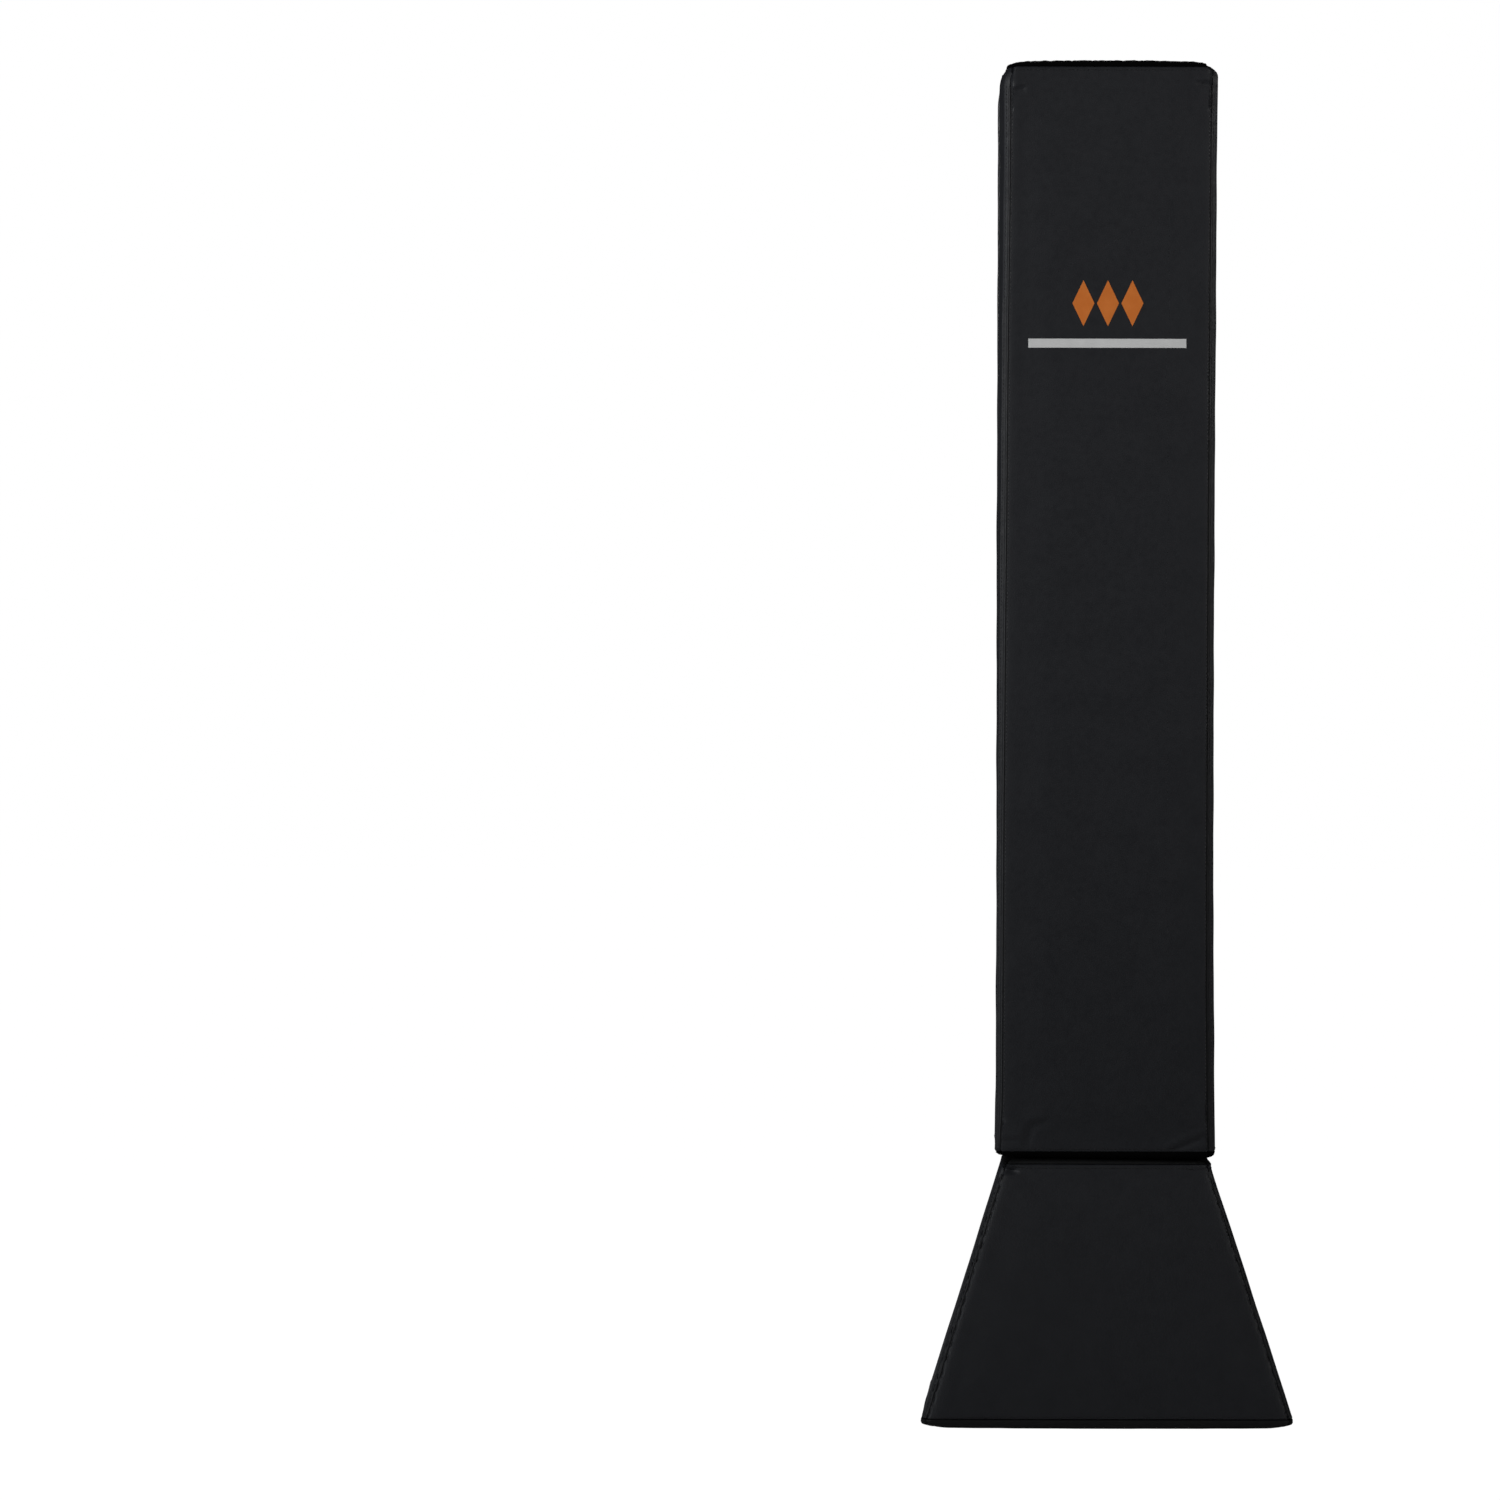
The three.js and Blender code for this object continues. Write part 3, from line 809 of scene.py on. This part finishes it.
# %% Covers and end strips
seam_width = 1.1 * mm
seam_depth = 1.0 * mm
rim_depth = 0.9 * mm
# The end strips are near-black: black binding, darker still as painted shade at the joint between the pads.
end_material = {"main": edge_tape_and_painted_shade, "gusset": hem_vinyl_and_painted_shade}
ragged_size = 6 * mm
ragged_height = 2.4 * mm


def cut_at(piece, seam, keeps_above):
    point, normal = seam
    inwards = seam_depth if keeps_above else -seam_depth

    def cut():
        bpy.ops.mesh.bisect(
            plane_co=point + normal * inwards,
            plane_no=normal,
            use_fill=True,
            clear_inner=keeps_above,
            clear_outer=not keeps_above,
        )
        bpy.ops.mesh.inset(thickness=seam_width, depth=rim_depth)

    edit(piece, cut)


def fray(piece):
    """The cut edge of the woven tape stands up raggedly round the top."""
    ragged = bpy.data.textures.new(piece.name + "_ragged", "CLOUDS")
    ragged.noise_scale = ragged_size
    ragged.noise_depth = 3
    modify(
        piece, "DISPLACE", texture=ragged, texture_coords="GLOBAL", strength=ragged_height, mid_level=0.3
    )


def sew_panel(pad, name):
    board = boards[pad, name]
    bottom, top = end_seams(pad, name)
    cover = twin_of(board, f"{pad}_{name}_padding")
    cut_at(cover, top, keeps_above=False)
    cut_at(cover, bottom, keeps_above=True)
    upper = twin_of(board, f"{pad}_{name}_top_strip")
    cut_at(upper, top, keeps_above=True)
    lower = twin_of(board, f"{pad}_{name}_bottom_strip")
    cut_at(lower, bottom, keeps_above=False)
    if pad == "main":
        fray(upper)
    body = f"{pad}_{name}"
    dress(cover, face_vinyl, body)
    dress(upper, end_material[pad], body)
    dress(lower, end_material[pad], body)
    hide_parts(f"{pad}_{name}_cover", f"{pad}_{name}_foam")
    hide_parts(f"{pad}_{name}_top_boxing")
    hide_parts(f"{pad}_{name}_{bottom_strip[pad]}")
    bpy.data.objects.remove(board)
    return cover, upper, lower


panels = {key: sew_panel(*key) for key in list(boards)}
bpy.context.view_layer.update()
print(len(panels), "panels, each a cover and two end strips")

# %% [markdown]
# ## Corner seams
# At each front corner the covers of the front and of the wing are sewn together, and that seam is the
# hinge the wing folds on. It could be left as the gap between two covers, but then light would fall
# through. So a strip of vinyl lines the valley from one cover to the other, with the round bead of a welt
# standing up in its middle.

# %% Corner seams
fold_columns = 14
fold_step = 12 * mm
bead_rise = 1.9 * mm
bead_share = 0.24
valley_depth = 1.0 * mm
fold_grip = 2.4 * mm
blend_reach = 1.6 * mm
fold_thickness = 0.9 * mm
fold_foot = 4 * mm
fold_head = {"main": 22 * mm, "gusset": 14 * mm}


def seam_heights(pad):
    """From where to where a corner seam runs, a little short of the panel's ends."""
    bottom, top = end_seams(pad, "left_wing")
    return bottom[0].z + fold_foot, top[0].z - fold_head[pad]


def worn_seam(pad, side, height):
    """The corner seam's place at a height, where the hung covers have it."""
    return Vector(hung(np.array([on_seam(pad, side, height)]), pad)[0])


def nearest_on(piece, place):
    _, point, normal, _ = piece.closest_point_on_mesh(place)
    return point, normal


def line_corner(pad, side):
    """The strip in one corner's valley."""
    hand = "left" if side < 0 else "right"
    wing = f"{hand}_wing"
    front_cover, wing_cover = panels[pad, "front"][0], panels[pad, wing][0]
    low, high = seam_heights(pad)
    strip = new_grid(f"{pad}_{wing}_corner_seam", fold_columns, round((high - low) / fold_step))
    grid = points_of(strip.data)
    placed = np.zeros_like(grid)
    inwards = Vector((-side, 1, 0)).normalized()
    for n, (across, along, _) in enumerate(grid):
        height = low + (high - low) * (along + 1) / 2
        corner = worn_seam(pad, side, height)
        on_front, _ = nearest_on(front_cover, corner + Vector((-side * fold_grip, 0, 0)))
        on_wing, _ = nearest_on(wing_cover, corner + Vector((0, fold_grip, 0)))
        share = (across + 1) / 2
        flat = on_front.lerp(on_wing, share)
        bead = bead_rise * math.exp(-(((share - 0.5) / bead_share) ** 4))
        placed[n] = flat + inwards * (valley_depth * math.sin(math.pi * share) - bead)
    set_points(strip.data, placed)
    thicken(strip, fold_thickness)
    modify(strip, "SUBSURF", levels=1, render_levels=1)
    # The strip's vinyl is darker than the face: painted shade for the seam's valley.
    shade(strip, bead_vinyl_painted_shade)
    foot, head = worn_seam(pad, side, low), worn_seam(pad, side, high)
    middle, along = foot.lerp(head, 0.5), (head - foot).normalized()
    across = Vector((side, 1, 0))
    across = (across - along * across.dot(along)).normalized() * blend_reach
    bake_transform(strip)
    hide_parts(f"{pad}_{hand}_corner_welt")
    return strip


corner_strips = [line_corner(pad, side) for pad in voxel for side in (-1, 1)]
print(len(corner_strips), "corner seams")

# %% [markdown]
# ## Stitches
# Every seam is closed by a row of lock stitches, small lens-shaped lumps of thread about four millimetres
# apart. One stitch is modelled, an array repeats it along a line, and a curve modifier bends the row over
# the cover. Each row's line is found by asking the cover for its nearest point, so that the thread lies on
# the vinyl wherever that swells.

# %% Rows of stitches
stitch_pitch = 4.4 * mm
stitch_long = 3.1 * mm
stitch_thick = 0.85 * mm
stitch_lift = 0.15 * mm
row_beside = 3.2 * mm
row_out = 2 * mm


def stitch_row(name, line, body, thread, pitch=stitch_pitch):
    """A row of stitches along a line of points."""
    curve = bpy.data.curves.new(name + "_line", "CURVE")
    curve.dimensions = "3D"
    spline = curve.splines.new("POLY")
    spline.points.add(len(line) - 1)
    for point, place in zip(spline.points, line):
        point.co = (*place, 1)
    guide = bpy.data.objects.new(name + "_line", curve)
    scene.collection.objects.link(guide)
    bpy.ops.object.select_all(action="DESELECT")
    bpy.ops.mesh.primitive_uv_sphere_add(segments=8, ring_count=5, radius=0.5)
    row = bpy.context.object
    row.name = name
    longest = stitch_long * pitch / stitch_pitch
    set_points(row.data, points_of(row.data) * (longest, stitch_thick, stitch_thick) + (pitch / 2, 0, 0))
    array = row.modifiers.new("array", "ARRAY")
    array.fit_type = "FIT_CURVE"
    array.curve = guide
    array.use_relative_offset = False
    array.use_constant_offset = True
    array.constant_offset_displace = (pitch, 0, 0)
    bend = row.modifiers.new("bend", "CURVE")
    bend.object = guide
    bend.deform_axis = "POS_X"
    apply_modifiers(row)
    bpy.data.objects.remove(guide)
    dress(row, thread, body)


def line_over(piece, places, lift=stitch_lift):
    """These places moved onto the surface of a piece, with a small lift off it."""
    line = []
    for place in places:
        point, normal = nearest_on(piece, place)
        line.append(point + normal * lift)
    return line


def corner_rows(pad, side):
    """A row of stitches on either side of a corner seam."""
    wing = "left_wing" if side < 0 else "right_wing"
    low, high = seam_heights(pad)
    heights = np.linspace(low, high, round((high - low) / fold_step))
    on_front = Vector((-side * row_beside, -row_out, 0))
    on_wing = Vector((side * row_out, row_beside, 0))
    for label, panel, off in (("front", "front", on_front), ("side", wing, on_wing)):
        places = [worn_seam(pad, side, height) + off for height in heights]
        line = line_over(panels[pad, panel][0], places)
        stitch_row(f"{pad}_{wing}_{label}_stitches", line, f"{pad}_{panel}", grey_thread)


for pad in voxel:
    for side in (-1, 1):
        corner_rows(pad, side)
print("two rows of stitches along each corner seam")

# %% [markdown]
# ## Stitches along the ends
# The end strips are sewn on in the same way, with one row on the cover beside each seam. A row follows the
# panel's face from edge to edge, so its line is drawn straight across and then dropped onto the cover.

# %% End seams
end_row_off = 3.4 * mm
end_row_points = 24
end_row_margin = 7 * mm
end_row_out = 6 * mm


def end_rows(pad, name):
    side = sides[name]
    body = f"{pad}_{name}"
    (bottom, _), (top, _) = end_seams(pad, name)
    for label, height in (("bottom", bottom.z + end_row_off), ("top", top.z - end_row_off)):
        half = -on_seam(pad, -1, height).x
        out = half + end_row_out
        run = np.linspace(-half + end_row_margin, half - end_row_margin, end_row_points)
        if side == 0:
            places = [Vector((x, -out, height)) for x in run]
        else:
            places = [Vector((side * out, y, height)) for y in run]
        line = line_over(panels[pad, name][0], places)
        stitch_row(f"{body}_{label}_stitches", line, body, black_thread)


for pad, name in panels:
    end_rows(pad, name)
print("a row of stitches beside each end seam")

# %% [markdown]
# ## Linings
# On the pole side each cover is closed by a woven lining, stretched flat over the foam and turned in at its
# edges. The frame has it as a thin flat board, whose four corners are enough: a fine grid is laid between
# them, a little slack is pressed into it, and it gets a thickness. A border of tape is sewn round it.

# %% Linings
lining_lift = 0.35 * mm
lining_thick = 0.8 * mm
lining_square = (9 * mm, 12 * mm)
lining_slack = 0.5 * mm
ripple_height = 0.22 * mm
border_wide = 13 * mm
border_thick = 0.9 * mm
border_lift = 0.8 * mm
border_row_lift = 1.3 * mm
border_row_share = 0.75
border_pitch = 5.2 * mm
border_cuts = 12
border_bevel = 0.3 * mm


def lining_corners(pad, name):
    """The corners of the lining's pole side, from low at one end, going round."""
    side = sides[name]
    sheet = copy_of(f"{pad}_{name}_lining", "corners")
    points = points_of(sheet.data)
    bpy.data.objects.remove(sheet)
    to_pole = points[:, 1] if side == 0 else -side * points[:, 0]
    across = points[:, 0] if side == 0 else points[:, 1]
    high = points[:, 2] > points[:, 2].mean()
    corners = []
    for is_high, is_far in ((False, False), (False, True), (True, True), (True, False)):
        level = high == is_high
        far = across > across[level].mean()
        pair = level & (far == is_far)
        corners.append(Vector(points[pair][to_pole[pair].argmax()]))
    return corners


def between(corners, u, v):
    """A place inside four corners, as a share across and a share up."""
    low = corners[0].lerp(corners[1], u)
    high = corners[3].lerp(corners[2], u)
    return low.lerp(high, v)


def pressed_in(u, v, height):
    """How far slack and ripples move the lining off its plane, fading out towards its edges."""
    inside = min(1, min(u, 1 - u, v * 3, (1 - v) * 3) * 6)
    ripple = math.sin(v * height * 70 + u * 5) * math.sin(u * 9 + v * 13)
    return (ripple_height * ripple - lining_slack) * inside


def add_border(body, corners, normal, share):
    """The tape over the lining's edge: a flat ring with its own row of stitches."""
    ring = new_grid(f"{body}_lining_border", 1, 1)

    def cut_ring():
        """A ring of any width, since its points are placed afterwards."""
        bpy.ops.mesh.inset(thickness=0.2)
        bpy.ops.mesh.delete(type="FACE")

    edit(ring, cut_ring)
    points = points_of(ring.data)
    placed = np.zeros_like(points)
    for n, (across, up, _) in enumerate(points):
        outer = abs(across) > 0.99 and abs(up) > 0.99
        from_edge = Vector((0, 0)) if outer else share
        u = from_edge.x if across < 0 else 1 - from_edge.x
        v = from_edge.y if up < 0 else 1 - from_edge.y
        placed[n] = between(corners, u, v) + normal * border_lift
    set_points(ring.data, placed)
    edit(ring, lambda: bpy.ops.mesh.subdivide(number_cuts=border_cuts))
    thicken(ring, border_thick)
    modify(ring, "BEVEL", width=border_bevel, segments=2, limit_method="ANGLE")
    dress(ring, edge_tape_and_painted_shade, body)
    u, v = share.x * border_row_share, share.y * border_row_share
    turns = [(u, v), (1 - u, v), (1 - u, 1 - v), (u, 1 - v), (u, v)]
    line = [between(corners, *turn) + normal * border_row_lift for turn in turns]
    stitch_row(f"{body}_border_stitches", line, body, grey_thread, pitch=border_pitch)


def lay_lining(pad, name):
    body = f"{pad}_{name}"
    corners = lining_corners(pad, name)
    width = (corners[1] - corners[0]).length / 2 + (corners[2] - corners[3]).length / 2
    height = (corners[3] - corners[0]).length / 2 + (corners[2] - corners[1]).length / 2
    normal = (corners[1] - corners[0]).cross(corners[3] - corners[0]).normalized()
    to_pole = Vector((0, 1, 0)) if sides[name] == 0 else Vector((-sides[name], 0, 0))
    if normal.dot(to_pole) < 0:
        normal = -normal
    columns, rows = round(width / lining_square[0]), round(height / lining_square[1])
    sheet = new_grid(f"{body}_lining_cloth", columns, rows)
    grid = points_of(sheet.data)
    placed = np.zeros_like(grid)
    for n, (across, up, _) in enumerate(grid):
        u, v = (across + 1) / 2, (up + 1) / 2
        placed[n] = between(corners, u, v) + normal * (lining_lift + pressed_in(u, v, height))
    set_points(sheet.data, placed)
    thicken(sheet, lining_thick)
    dress(sheet, lining_cloth, body)
    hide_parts(f"{body}_lining")
    add_border(body, corners, normal, Vector((border_wide / width, border_wide / height)))


for pad, name in panels:
    lay_lining(pad, name)
print("six linings, each with a sewn border")

# %% [markdown]
# ## Straps
# Each strap is a length of webbing. One end is sewn to the left wing, and the other carries hook tape that
# grips a patch of loop tape on the right wing. They could be modelled afresh, but the frame has their exact
# shapes with hard edges, so each is copied, its edges are rounded with a bevel, and it gets its stitching: a
# box with a cross in it where it is sewn down, and a line round each tape.

# %% Straps
strap_bevel = 0.35 * mm
sharp_angle = math.radians(40)
strap_row_inset = 3.5 * mm
strap_row_lift = 0.3 * mm
strap_pitch = 3.8 * mm
strap_counts = {"gusset": 2, "main": 4}
strap_parts = {
    "sewn_end": (strap_webbing, "webbing"),
    "loop_patch": (loop_face, "loop_tape"),
    "webbing": (strap_webbing, "webbing"),
    "hook_tape": (hook_face, "hook_tape"),
}


def body_of(node):
    return next(body for body, nodes in frame["record"]["behaviour"]["bodies"].items() if node in nodes)


def dress_strap(node, part):
    material, slot = strap_parts[part]
    piece = copy_of(node, node + "_cloth")
    modify(piece, "BEVEL", width=strap_bevel, segments=2, limit_method="ANGLE", angle_limit=sharp_angle)
    dress(piece, material, body_of(node))
    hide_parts(node)
    return piece


def over_box(piece, node, corners):
    """Corners given as shares of a node's width and height, laid on the rear face of a piece."""
    inset = Vector((strap_row_inset, 0, strap_row_inset))
    low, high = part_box(node)
    low, high = low + inset, high - inset
    wide, tall, behind = high.x - low.x, high.z - low.z, high.y + strap_row_inset
    places = [Vector((low.x + wide * u, behind, low.z + tall * v)) for u, v in corners]
    return line_over(piece, places, strap_row_lift)


plain_box = [(0, 0), (1, 0), (1, 1), (0, 1), (0, 0)]
box_and_slash = plain_box + [(1, 1)]
other_slash = [(0, 1), (1, 0)]


def sew_strap(name):
    """A strap's four parts, and the rows of stitches on them."""
    parts = {part: dress_strap(f"{name}_{part}", part) for part in strap_parts}
    bpy.context.view_layer.update()
    rows = [
        ("box", "sewn_end", "sewn_end", box_and_slash),
        ("cross", "sewn_end", "sewn_end", other_slash),
        ("patch", "loop_patch", "loop_patch", plain_box),
        ("tape", "webbing", "hook_tape", plain_box),
    ]
    for label, part, around, corners in rows:
        line = over_box(parts[part], f"{name}_{around}", corners)
        body = body_of(f"{name}_{part}")
        stitch_row(f"{name}_{label}_stitches", line, body, grey_thread, pitch=strap_pitch)


for pad, count in strap_counts.items():
    for n in range(1, count + 1):
        sew_strap(f"{pad}_strap_{n}")
print(sum(strap_counts.values()), "straps")

# %% [markdown]
# ## A plain print
# Such pads carry a screen print on the front, two colours of ink a tenth of a millimetre thick. This one
# is a plain row of three diamonds over a bar, which stands for any club's mark. It could be painted into
# the vinyl's material, but ink has an edge and a sheen of its own, so each shape is a grid of small faces
# that is pressed onto the cover and follows every dent in it.

# %% A plain print
ink_thick = 0.12 * mm
ink_lift = 0.1 * mm
before_cover = -0.16
diamond_middle = (1082.5, 303)
diamond_step = 24.5
diamond_size = (22, 46)
bar_middle = (1106.5, 343)
bar_size = (158, 9)
ink_columns = 24
ink_rows = 16


def ink(name, dark, light):
    material = new_material(name)
    place = object_place(material)
    grain = noise(material, place, 2.2 * mm, 3.0)
    colour = two_tone(material, noise(material, place, 12 * mm, 4.0), dark, light)
    roughness = ranged(material, grain, 0.42, 0.55)
    return finish_material(material, colour, roughness, bump(material, grain, 0.1 * mm))


def print_shape(name, middle, size, turned, material):
    """A rectangle of ink, or a diamond when it is turned, given in pixels of the photograph."""
    shape = new_grid(name, ink_columns, ink_rows)
    right, up, _ = points_of(shape.data).T
    if turned:
        right, up = (right - up) / 2, (right + up) / 2
    across, height = on_face(*middle)
    wide, tall = size[0] / 2 / pixels_per_metre, size[1] / 2 / pixels_per_metre
    start = np.full(len(right), before_cover)
    set_points(shape.data, np.stack((across + right * wide, start, height + up * tall), axis=1))
    modify(
        shape, "SHRINKWRAP", target=panels["main", "front"][0], wrap_method="PROJECT", use_project_y=True,
        use_positive_direction=True, use_negative_direction=False, offset=ink_lift,
    )
    thicken(shape, ink_thick)
    dress(shape, material, "main_front")


orange_ink = ink("orange_ink", (0.92, 0.24, 0.035), (0.97, 0.27, 0.045))
white_ink = ink("white_ink", (0.9, 0.9, 0.89), (0.96, 0.96, 0.95))
for n in range(3):
    middle = (diamond_middle[0] + diamond_step * n, diamond_middle[1])
    print_shape(f"print_diamond_{n + 1}", middle, diamond_size, True, orange_ink)
print_shape("print_bar", bar_middle, bar_size, False, white_ink)
print("three diamonds and a bar of ink")
